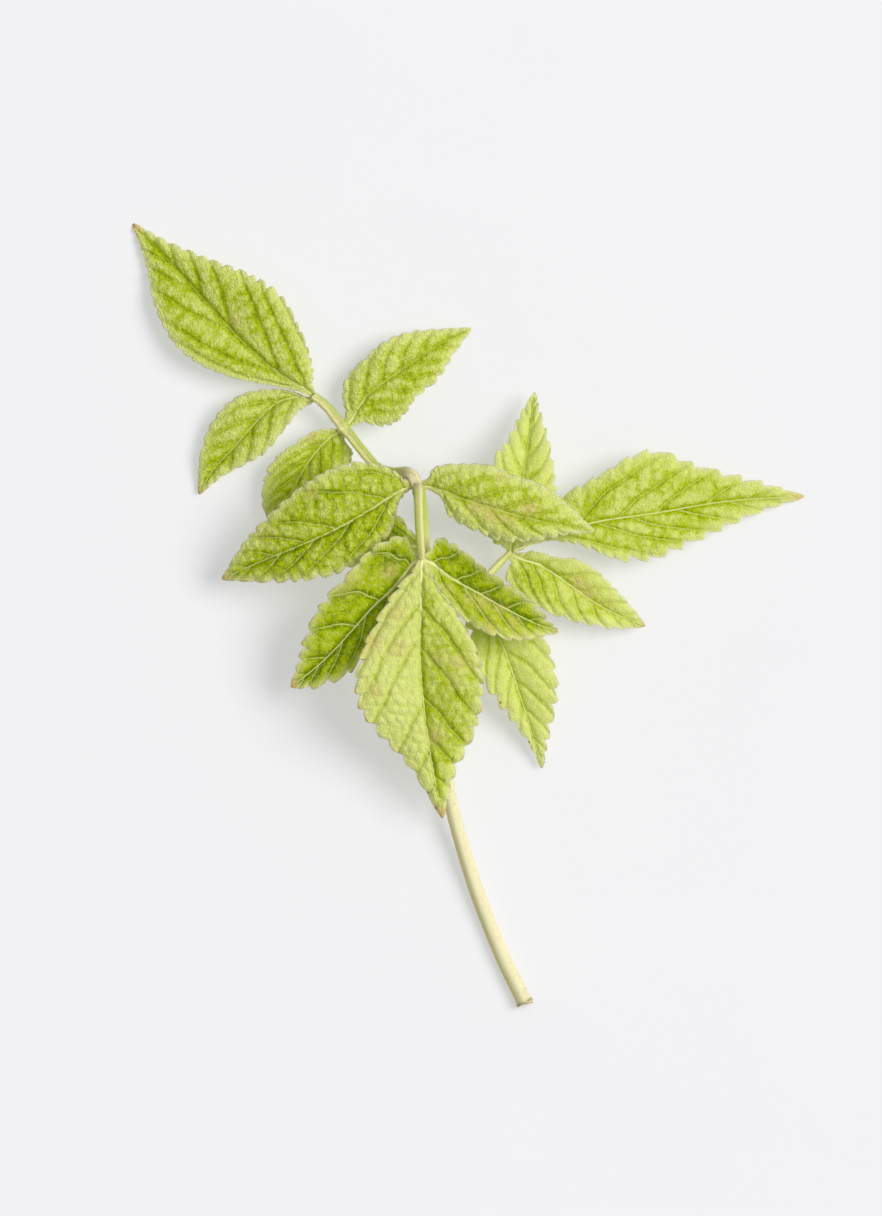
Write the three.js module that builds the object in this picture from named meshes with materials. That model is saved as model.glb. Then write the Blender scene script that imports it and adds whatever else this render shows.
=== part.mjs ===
// A cut sprig of sage with compound leaves, lying on a surface. Millimetres, +Z up.
// The surface is z = 0, and the origin is under the middle of the sprig. The stem runs along +Y
// from its cut end. The sprig rests on the lower part of the stem, on the tip of the upper left leaf
// and on the tip of the right leaf. Every leaflet hangs in the air from its stalk, with a small gap
// at its root.
import * as THREE from "three";

const BLADE = 0.72; // upright thickness of a leaflet
const ROOT_HALF = 0.42; // half the width of a leaflet where it leaves its stalk
const ROOT_LEAN = 0.3; // how far its corners there lie behind its root
const TIP_HALF = 0.3; // half the width of its blunt tip
const TOOTH_DEPTH = 0.85; // how far a notch cuts in from the margin
const TOOTH_SHARE = 0.2; // but never more than this share of the half-width there
const TOOTH_TIP = 0.62; // where in its pitch a tooth is widest: the teeth lean towards the tip
const PLEAT = 0.28; // height of the pleats between the side veins
const PLEATS = 7; // side veins in each half of a leaflet
const ACROSS = [-1, -0.5, 0, 0.5, 1]; // lines along a leaflet: margin, mid-half, midrib and back
const CUT_SLANT = -0.35; // lean of the stem's cut end across its width
const STALK_SIDES = 8;
const STEM_SIDES = 12;
const STEM_RINGS = 28;
const RACHIS_RINGS = 18;
const PETIOLE_RINGS = 12;
const STEEP = 0.3; // a stalk whose run over the ground is less than this share climbs steeply
const WEST = new THREE.Vector3(-1, 0, 0); // the side of such a stalk that counts as its right

const colour = {
  blade: 0xa9c43f,
  paleBlade: 0xbfd464,
  stem: 0xe3dca4,
};

// Stalks: [x, y, z, radius] along the middle of each, from the lower end.
const mainStem = [
  [11.5, -77.9, 1.4, 1.46], [9.7, -74.3, 1.4, 1.44], [6.9, -68.5, 1.4, 1.42], [3.1, -59.1, 1.6, 1.4],
  [0.7, -52.3, 2.2, 1.38], [-2.3, -42.3, 3.8, 1.32], [-3.9, -35.1, 5.2, 1.26], [-5.5, -23.1, 7.4, 1.18],
  [-6.8, -10.1, 9.6, 1.12], [-8.0, 2.9, 11.4, 1.12], [-8.6, 12.9, 12.8, 1.1], [-9.1, 19.9, 13.9, 1.08],
  [-9.9, 25.1, 15.0, 1.15],
];
const upperRachis = [
  [-10.1, 25.8, 15.1, 1.15], [-11.2, 27.8, 15.2, 1.1], [-13.0, 28.3, 13.4, 1.08], [-15.4, 28.4, 11.4, 1.02],
  [-18.2, 29.4, 9.6, 1.0], [-21.0, 32.6, 7.8, 1.0], [-23.8, 36.1, 6.0, 1.0], [-25.8, 38.5, 5.2, 1.0],
  [-28.3, 41.6, 4.6, 0.95], [-31.0, 43.8, 4.5, 0.7],
];
const frontPetiole = [
  [-9.9, 25.0, 16.6, 0.9], [-9.9, 24.5, 17.8, 0.9], [-9.9, 21.9, 18.8, 0.88], [-9.7, 16.9, 18.9, 0.86],
  [-9.4, 12.9, 18.6, 0.8], [-9.3, 11.1, 18.4, 0.68],
];
const rightPetiole = [
  [-5.8, -1.1, 10.8, 0.85], [-3.6, 1.1, 10.6, 0.84], [0.4, 4.3, 9.8, 0.8], [3.8, 7.5, 9.0, 0.78],
  [6.2, 10.1, 8.4, 0.75], [8.6, 12.5, 8.0, 0.68],
];

// Leaflets. rib: the midrib from root to tip, with the height of the upper face. left and right:
// the margins as seen from the root, without the root and the tip. lift: how far each margin stands
// above the midrib at a quarter, a half and three quarters of the length, left then right. bow: how
// far each half swells above its chord.
const leaflets = {
  upper_end: {
    rib: [[-31.4, 44.4, 5.0], [-38.4, 48.7, 4.9], [-45.6, 55.1, 4.5], [-52.6, 62.7, 3.5], [-60.0, 70.9, 2.1],
      [-67.0, 78.1, 0.72]],
    left: [[-39.2, 45.7], [-46.0, 46.9], [-53.0, 49.5], [-58.8, 54.1], [-62.6, 61.5], [-64.6, 70.5]],
    right: [[-30.6, 49.3], [-33.0, 56.5], [-37.2, 63.9], [-43.6, 68.1], [-51.0, 70.9], [-59.2, 74.3]],
    lift: [[0.6, 1.5, 0.7], [1.5, 2.1, 1.2]], bow: [0.6, 0.8], teeth: 21,
  },
  upper_side: {
    rib: [[-31.4, 42.2, 3.9], [-34.4, 43.4, 3.8], [-38.6, 42.1, 3.7], [-42.8, 38.1, 3.5], [-47.0, 33.3, 2.9],
      [-51.2, 28.7, 2.1], [-53.8, 24.1, 1.5]],
    left: [[-32.4, 41.5], [-34.2, 39.9], [-37.0, 36.5], [-40.2, 32.5], [-44.4, 30.1], [-49.2, 27.5]],
    right: [[-35.2, 44.7], [-39.8, 45.2], [-44.6, 44.5], [-48.8, 41.7], [-52.0, 37.1], [-53.8, 30.7]],
    lift: [[0.8, 1.4, 0.6], [0.0, 1.0, 0.6]], bow: [0.4, 0.5], teeth: 13,
  },
  pair_right: {
    rib: [[-23.5, 38.3, 5.4], [-20.4, 43.5, 5.3], [-16.2, 46.9, 5.0], [-11.4, 50.3, 4.4], [-5.6, 54.1, 3.5],
      [0.6, 57.2, 2.3]],
    left: [[-25.2, 42.5], [-24.8, 47.1], [-20.8, 51.3], [-16.8, 54.7], [-12.0, 56.5], [-6.2, 57.1]],
    right: [[-20.8, 37.9], [-17.0, 37.3], [-13.4, 39.1], [-10.4, 43.1], [-6.2, 46.7], [-3.2, 51.5]],
    lift: [[-0.6, 0.8, 0.7], [0.6, 1.3, 0.6]], bow: [0.9, 0.4], teeth: 14,
  },
  pair_left: {
    rib: [[-25.9, 36.2, 4.8], [-27.6, 35.4, 4.8], [-30.6, 32.3, 4.6], [-33.2, 28.5, 4.2], [-36.0, 23.5, 3.6],
      [-39.6, 18.3, 2.9]],
    left: [[-24.0, 34.2], [-22.9, 31.9], [-24.2, 28.7], [-27.2, 25.1], [-30.8, 22.3], [-34.8, 19.9]],
    right: [[-27.0, 37.3], [-31.0, 36.7], [-35.2, 34.1], [-38.8, 31.3], [-40.8, 27.3], [-41.2, 22.3]],
    lift: [[-0.2, 1.0, 0.5], [0.6, 1.2, 0.6]], bow: [0.3, 0.6], teeth: 11,
  },
  node_left: {
    rib: [[-11.9, 25.6, 15.6], [-15.2, 23.8, 15.6], [-20.0, 20.7, 15.2], [-26.4, 17.1, 14.4],
      [-33.6, 13.8, 12.8], [-41.2, 10.7, 10.2], [-49.2, 7.1, 6.6]],
    left: [[-13.6, 22.3], [-14.8, 17.3], [-18.8, 12.3], [-25.4, 8.3], [-32.8, 6.7], [-40.8, 6.4]],
    right: [[-14.4, 28.9], [-21.0, 30.9], [-27.8, 29.1], [-33.8, 25.5], [-40.0, 19.9], [-45.0, 14.3]],
    lift: [[-0.9, -0.5, 0.3], [1.6, 2.2, 0.9]], bow: [1.0, 0.6], teeth: 17,
  },
  node_right: {
    rib: [[-8.1, 25.6, 15.8], [-5.0, 24.7, 16.6], [-0.4, 22.9, 17.3], [5.6, 21.0, 17.3], [12.0, 19.2, 16.3],
      [18.6, 17.9, 14.6], [25.2, 16.7, 12.6]],
    left: [[-7.0, 29.5], [-2.2, 30.3], [3.8, 30.1], [9.6, 27.9], [15.0, 25.9], [20.2, 21.9]],
    right: [[-5.6, 23.3], [-4.0, 19.5], [1.0, 16.7], [7.2, 14.5], [13.8, 14.7], [19.8, 15.9]],
    lift: [[-0.2, -0.8, -0.3], [-0.4, -1.2, -0.4]], bow: [1.0, 1.0], teeth: 15,
  },
  front_end: {
    rib: [[-9.3, 10.5, 18.7], [-9.5, 0.5, 18.3], [-9.6, -8.1, 17.1], [-8.8, -18.7, 14.8], [-7.2, -29.9, 11.6],
      [-5.1, -40.7, 8.2]],
    left: [[-4.2, 4.1], [0.0, -2.7], [3.0, -9.9], [3.0, -17.1], [1.2, -24.1], [-2.6, -31.7]],
    right: [[-14.6, 5.7], [-19.8, -2.9], [-22.6, -11.3], [-22.0, -18.3], [-17.8, -23.9], [-11.8, -30.3]],
    lift: [[1.4, 2.2, 0.8], [0.9, 1.8, 0.7]], bow: [0.6, 0.5], teeth: 15,
  },
  front_left: {
    rib: [[-10.5, 11.1, 17.7], [-14.6, 5.7, 16.5], [-19.4, 1.1, 15.2], [-23.8, -3.9, 13.6],
      [-29.2, -9.5, 11.6], [-35.4, -14.5, 9.2]],
    left: [[-11.4, 4.9], [-13.4, -0.3], [-16.2, -5.1], [-20.0, -8.8], [-24.6, -12.5], [-30.2, -14.7]],
    right: [[-12.6, 16.3], [-18.8, 14.1], [-23.8, 8.7], [-29.2, 2.9], [-32.4, -3.5], [-34.0, -9.3]],
    lift: [[0.2, 0.8, 0.6], [0.6, 1.4, 0.7]], bow: [0.3, 0.6], teeth: 12,
  },
  front_right: {
    rib: [[-8.1, 11.1, 17.7], [-3.6, 7.5, 17.1], [2.0, 4.3, 16.3], [7.6, 1.1, 15.5], [12.8, -1.5, 14.7],
      [18.0, -3.5, 13.9]],
    left: [[-6.3, 15.7], [-2.4, 14.1], [2.8, 9.9], [8.0, 6.3], [12.6, 3.1], [16.2, -1.1]],
    right: [[-6.8, 5.3], [-3.4, 1.3], [0.4, -2.1], [5.2, -4.5], [10.0, -5.3], [14.4, -4.5]],
    lift: [[2.0, 2.6, 1.1], [0.4, 1.1, 0.6]], bow: [-0.2, 0.5], teeth: 12,
  },
  right_end: {
    rib: [[9.4, 12.8, 7.8], [16.4, 15.7, 7.4], [25.6, 18.5, 6.9], [37.6, 20.3, 5.4], [52.2, 22.7, 2.8],
      [67.2, 23.6, 0.72]],
    left: [[12.4, 19.5], [18.4, 23.9], [26.0, 28.3], [35.6, 33.1], [46.2, 29.9], [57.8, 26.9]],
    right: [[14.6, 14.7], [20.6, 13.7], [27.0, 11.3], [35.0, 10.3], [45.8, 14.5], [56.4, 19.5]],
    lift: [[-0.6, 1.1, 0.7], [0.4, 0.9, 0.6]], bow: [0.6, 0.4], teeth: 18,
  },
  right_upper: {
    rib: [[8.1, 13.8, 8.8], [9.4, 18.1, 9.4], [10.4, 23.9, 9.6], [11.4, 30.5, 8.6], [12.4, 37.3, 6.6],
      [13.3, 44.4, 4.2]],
    left: [[5.0, 13.9], [2.2, 18.1], [2.8, 24.5], [5.2, 31.5], [7.8, 34.9], [10.0, 39.5]],
    right: [[12.6, 13.7], [16.2, 16.9], [17.6, 22.3], [17.4, 28.5], [16.2, 34.9], [14.6, 40.3]],
    lift: [[0.4, 1.2, 0.6], [0.2, 0.8, 0.6]], bow: [0.5, 0.4], teeth: 13,
  },
  right_lower: {
    rib: [[9.3, 11.2, 8.3], [14.2, 9.9, 8.4], [19.2, 6.7, 7.8], [24.2, 3.1, 6.6], [29.4, 0.1, 5.0],
      [35.4, -2.3, 3.2]],
    left: [[12.8, 12.9], [17.6, 11.7], [22.2, 11.1], [26.4, 8.3], [29.8, 4.9], [33.0, 1.3]],
    right: [[7.4, 9.3], [7.8, 5.7], [11.6, 2.5], [17.6, -0.3], [23.6, -2.1], [29.8, -2.9]],
    lift: [[0.5, 1.3, 0.6], [0.2, 0.8, 0.5]], bow: [0.4, 0.5], teeth: 12,
  },
  right_back: {
    rib: [[2.5, 4.7, 8.7], [4.6, -1.1, 8.2], [7.6, -8.1, 7.2], [10.0, -15.1, 5.8], [12.4, -22.7, 3.8],
      [14.8, -30.7, 1.7]],
    left: [[7.4, 3.7], [12.6, -0.3], [16.2, -6.1], [18.0, -13.1], [17.4, -19.3], [16.0, -25.5]],
    right: [[-0.4, 1.3], [-0.4, -4.3], [1.2, -9.9], [4.2, -15.5], [8.0, -20.5], [12.0, -25.7]],
    lift: [[0.6, 1.2, 0.5], [0.5, 0.9, 0.5]], bow: [0.4, 0.5], teeth: 12,
  },
  hidden_left: {
    rib: [[-10.2, 13.5, 12.4], [-13.4, 13.7, 12.2], [-16.4, 13.5, 11.6], [-19.4, 12.9, 10.8],
      [-22.2, 11.9, 9.8], [-25.0, 10.7, 8.8]],
    left: [[-12.0, 11.1], [-14.4, 9.3], [-17.0, 8.7], [-19.4, 8.9], [-21.6, 9.5], [-23.6, 10.1]],
    right: [[-11.6, 17.3], [-13.2, 19.5], [-15.8, 19.7], [-18.8, 18.1], [-21.4, 15.9], [-23.6, 13.3]],
    lift: [[0.2, 0.5, 0.3], [0.2, 0.6, 0.3]], bow: [0.3, 0.3], teeth: 8,
  },
};

const vector = ([x, y, z = 0]) => new THREE.Vector3(x, y, z);
const curveThrough = (points) => new THREE.CatmullRomCurve3(points, false, "catmullrom", 0.5);

const curveOfValues = (values) => curveThrough(values.map((value, i) => new THREE.Vector3(i, value, 0)));

// A named mesh from lists of points and of the triangles between them.
function meshOf(name, positions, faces, material) {
  const geometry = new THREE.BufferGeometry();
  geometry.setAttribute("position", new THREE.Float32BufferAttribute(positions.flat(), 3));
  geometry.setIndex(faces.flat());
  geometry.computeVertexNormals();
  const mesh = new THREE.Mesh(geometry, material);
  mesh.name = name;
  return mesh;
}

// The stations along a leaflet: a notch and a tooth tip for each tooth, then the blunt tip.
function toothStations(teeth) {
  const stations = [];
  for (let k = 0; k < teeth; k += 1) {
    stations.push({ along: k / teeth, notch: true });
    stations.push({ along: (k + TOOTH_TIP) / teeth, notch: false });
  }
  stations.push({ along: 1, notch: false });
  return stations;
}

// A margin as a curve from beside the root to beside the tip, through its own points. side is -1 for
// the left margin and 1 for the right. Its start leans back, so that a lobe can reach back unfolded.
function marginCurve(rib, points, side) {
  const [first, second, beforeLast, last] = [0, 1, -2, -1].map((i) => vector(rib.at(i)).setZ(0));
  const out = second.sub(first).normalize();
  const end = last.clone().sub(beforeLast).normalize();
  const across = ({ x, y }) => new THREE.Vector3(y, -x, 0).multiplyScalar(side);
  const start = first.clone().addScaledVector(across(out), ROOT_HALF).addScaledVector(out, -ROOT_LEAN);
  const stop = last.addScaledVector(across(end), TIP_HALF);
  return curveThrough([start, ...points.map(vector), stop]);
}

// The point on a leaflet's upper face, from its midrib (share 0) to a margin (share 1).
function bladePoint(station, share, side, shape) {
  const { along, notch } = station;
  const rib = shape.rib.getPoint(along);
  const margin = shape.margins[side].getPoint(along);
  const half = Math.hypot(margin.x - rib.x, margin.y - rib.y);
  const cut = notch ? Math.min(TOOTH_DEPTH, TOOTH_SHARE * half) : 0;
  const reach = share * (1 - (share * cut) / half);
  const swell = Math.sin(Math.PI * share) * Math.sin(Math.PI * along);
  const pleat = PLEAT * Math.cos(2 * Math.PI * PLEATS * along) * swell;
  const z = rib.z + shape.lifts[side].getPoint(along).y * share + shape.bow[side] * swell + pleat;
  const x = THREE.MathUtils.lerp(rib.x, margin.x, reach);
  const y = THREE.MathUtils.lerp(rib.y, margin.y, reach);
  return [x, y, Math.max(z, BLADE)];
}

function leaflet(name, { rib, left, right, lift, bow, teeth }, material) {
  const shape = {
    rib: curveThrough(rib.map(vector)),
    margins: [marginCurve(rib, left, -1), marginCurve(rib, right, 1)],
    lifts: lift.map((heights) => curveOfValues([0, ...heights, 0])),
    bow,
  };
  const stations = toothStations(teeth);
  const wide = ACROSS.length;
  const upper = stations.flatMap((station) =>
    ACROSS.map((across) => bladePoint(station, Math.abs(across), across < 0 ? 0 : 1, shape)));
  const lower = upper.map(([x, y, z]) => [x, y, z - BLADE]);
  const below = upper.length;
  const faces = [];
  const wall = (a, b) => faces.push([a, b, below + a], [b, below + b, below + a]);
  for (let row = 0; row + 1 < stations.length; row += 1) {
    for (let column = 0; column + 1 < wide; column += 1) {
      const a = row * wide + column;
      const b = a + wide;
      faces.push([a, a + 1, b], [b, a + 1, b + 1]);
      faces.push([below + a, below + b, below + a + 1], [below + b, below + b + 1, below + a + 1]);
    }
    const start = row * wide;
    wall(start, start + wide);
    wall(start + 2 * wide - 1, start + wide - 1);
  }
  for (let column = 0; column + 1 < wide; column += 1) {
    wall(column + 1, column);
    wall(upper.length - wide + column, upper.length - wide + column + 1);
  }
  return meshOf(name, [...upper, ...lower], faces, material);
}

// A round stalk along a curve, with flat ends, kept above the surface that the sprig lies on.
// slant leans its first end over, as a slanted cut does. Each section stands square to the curve.
function stalk(name, points, sides, rings, material, slant = 0) {
  const path = curveThrough(points.map(vector));
  const radii = curveOfValues(points.map(([, , , radius]) => radius));
  const positions = [];
  for (let ring = 0; ring <= rings; ring += 1) {
    const along = ring / rings;
    const centre = path.getPoint(along);
    const forward = path.getTangent(along);
    const right = new THREE.Vector3(forward.y, -forward.x, 0);
    const sideways = right.length() > STEEP ? right.normalize() : WEST.clone();
    const up = new THREE.Vector3().crossVectors(sideways, forward).normalize();
    for (let side = 0; side < sides; side += 1) {
      const angle = (2 * Math.PI * (side + 0.5)) / sides;
      const radius = radii.getPoint(along).y;
      const point = centre.clone()
        .addScaledVector(sideways, radius * Math.cos(angle))
        .addScaledVector(up, radius * Math.sin(angle));
      if (ring === 0) point.addScaledVector(forward, slant * radius * Math.cos(angle));
      positions.push([point.x, point.y, Math.max(point.z, 0)]);
    }
  }
  const faces = [];
  for (let ring = 0; ring < rings; ring += 1) {
    for (let side = 0; side < sides; side += 1) {
      const a = ring * sides + side;
      const b = ring * sides + ((side + 1) % sides);
      faces.push([a, a + sides, b], [b, a + sides, b + sides]);
    }
  }
  const top = rings * sides;
  for (let side = 1; side + 1 < sides; side += 1) {
    faces.push([0, side, side + 1], [top, top + side + 1, top + side]);
  }
  return meshOf(name, positions, faces, material);
}

const blade = new THREE.MeshStandardMaterial({ color: colour.blade, roughness: 0.75, metalness: 0 });
const paleBlade = new THREE.MeshStandardMaterial({ color: colour.paleBlade, roughness: 0.75, metalness: 0 });
const stem = new THREE.MeshStandardMaterial({ color: colour.stem, roughness: 0.7, metalness: 0 });

const sprig = new THREE.Group();
sprig.add(stalk("main_stem", mainStem, STEM_SIDES, STEM_RINGS, stem, CUT_SLANT));
sprig.add(stalk("upper_rachis", upperRachis, STALK_SIDES, RACHIS_RINGS, stem));
sprig.add(stalk("front_petiole", frontPetiole, STALK_SIDES, PETIOLE_RINGS, stem));
sprig.add(stalk("right_petiole", rightPetiole, STALK_SIDES, PETIOLE_RINGS, stem));
for (const [name, shape] of Object.entries(leaflets)) {
  const pale = name.startsWith("right") || name.startsWith("upper");
  sprig.add(leaflet(name, shape, pale ? paleBlade : blade));
}

export default sprig;
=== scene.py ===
"""A cut sprig of sage with compound leaves, lying on a pale surface. Metres, +Z up.

The curves repeat those of the solids, in millimetres, and each finished point is scaled once.
Each leaflet is a fine sheet with crenate edges, furrowed veins and puckered cells between them,
thickened downwards. The stalks are ribbed, channelled tubes, and all of them carry short hairs.
"""

import bmesh
import bpy
import numpy as np
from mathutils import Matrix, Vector, kdtree


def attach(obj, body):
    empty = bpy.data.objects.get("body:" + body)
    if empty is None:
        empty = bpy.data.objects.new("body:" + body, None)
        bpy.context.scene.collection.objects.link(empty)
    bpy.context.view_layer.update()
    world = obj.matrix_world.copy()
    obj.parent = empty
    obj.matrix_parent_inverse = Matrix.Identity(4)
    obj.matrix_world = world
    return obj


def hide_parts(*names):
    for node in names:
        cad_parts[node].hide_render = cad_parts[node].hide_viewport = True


MM = 0.001
rng = np.random.default_rng(1464)

# Leaflets, as in the solids
ROOT_HALF = 0.42  # half the width of a leaflet where it leaves its stalk
ROOT_LEAN = 0.3
TIP_HALF = 0.3
TOOTH_SHARE = 0.3
TOOTH_TIP = 0.7  # where in its pitch a tooth is widest
TOOTH_ROUND = 0.7  # under 1 the teeth are round, with sharp notches between them

# Their finer form
STEP = 0.27  # spacing of a sheet's points
ROOT_REACH = 1.2  # over this distance a leaflet's root bends in towards its stalk
THIN = 0.42  # thickness of the blade
THICK = 0.9  # and over its midrib
VEIN_OUT = 0.55  # side veins leave the midrib steeply, with this share of their later lean
VEIN_TURN = 2.4  # and turn towards the tip over this distance
TWIG_PITCH = 2.7  # spacing of the branches that a side vein sends out
TWIG_BEND = 0.45
CELL_PITCH = 1.15
QUILT = 0.44  # how far the tissue swells between side veins
CELL = 0.46  # and how far each small cell of it swells
RIB_FURROW = 0.5
SIDE_FURROW = 0.27
NOTCH_FURROW = 0.16
EDGE_CURL = 0.02
WAVE = 0.3
FLECK = 0.4
FRINGE = 512  # hairs on each leaflet's margins
HAIR = 0.028  # half the width of a hair at its foot
MARKINGS = (
    "along", "rib", "margin", "phase", "steep", "twig", "cell",
    "relief_shade", "tone_and_shade", "scorch", "bleach", "fleck",
)

# Camera and light
FLOOR_LIT = 0.45
FLOOR_HALF = 2.0  # metres
BACKDROP_LIT = 0.98
BACKDROP_HALF = 1.9
BACKDROP_DEPTH = 0.1
PAPER = (0.9, 0.9, 0.915, 1.0)
VIEW_HEIGHT = 0.2432
VIEW_CENTRE = (-0.0054, 0.0013)
CAMERA_HEIGHT = 0.6
CUT_SLANT = -0.35  # lean of the stem's cut end across its width

# Where side veins leave the midrib, as shares of its length
EVEN = [(0.05, 0.2, 0.36, 0.52, 0.68, 0.84), (0.03, 0.15, 0.3, 0.46, 0.62, 0.78, 0.9)]

# Stalks: (x, y, z, radius) along the middle of each, from the lower end, as in the solids
STALKS = {
    "main_stem": [
        (11.5, -77.9, 1.4, 1.46), (9.7, -74.3, 1.4, 1.44), (6.9, -68.5, 1.4, 1.42), (3.1, -59.1, 1.6, 1.4),
        (0.7, -52.3, 2.2, 1.38), (-2.3, -42.3, 3.8, 1.32), (-3.9, -35.1, 5.2, 1.26), (-5.5, -23.1, 7.4, 1.18),
        (-6.8, -10.1, 9.6, 1.12), (-8.0, 2.9, 11.4, 1.12), (-8.6, 12.9, 12.8, 1.1), (-9.1, 19.9, 13.9, 1.08),
        (-9.9, 25.1, 15.0, 1.15),
    ],
    "upper_rachis": [
        (-10.1, 25.8, 15.1, 1.15), (-11.2, 27.8, 15.2, 1.1), (-13.0, 28.3, 13.4, 1.08),
        (-15.4, 28.4, 11.4, 1.02), (-18.2, 29.4, 9.6, 1.0), (-21.0, 32.6, 7.8, 1.0), (-23.8, 36.1, 6.0, 1.0),
        (-25.8, 38.5, 5.2, 1.0), (-28.3, 41.6, 4.6, 0.95), (-31.0, 43.8, 4.5, 0.7),
    ],
    "front_petiole": [
        (-9.9, 25.0, 16.6, 0.9), (-9.9, 24.5, 17.8, 0.9), (-9.9, 21.9, 18.8, 0.88), (-9.7, 16.9, 18.9, 0.86),
        (-9.4, 12.9, 18.6, 0.8), (-9.3, 11.1, 18.4, 0.68),
    ],
    "right_petiole": [
        (-5.8, -1.1, 10.8, 0.85), (-3.6, 1.1, 10.6, 0.84), (0.4, 4.3, 9.8, 0.8), (3.8, 7.5, 9.0, 0.78),
        (6.2, 10.1, 8.4, 0.75), (8.6, 12.5, 8.0, 0.68),
    ],
}
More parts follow.
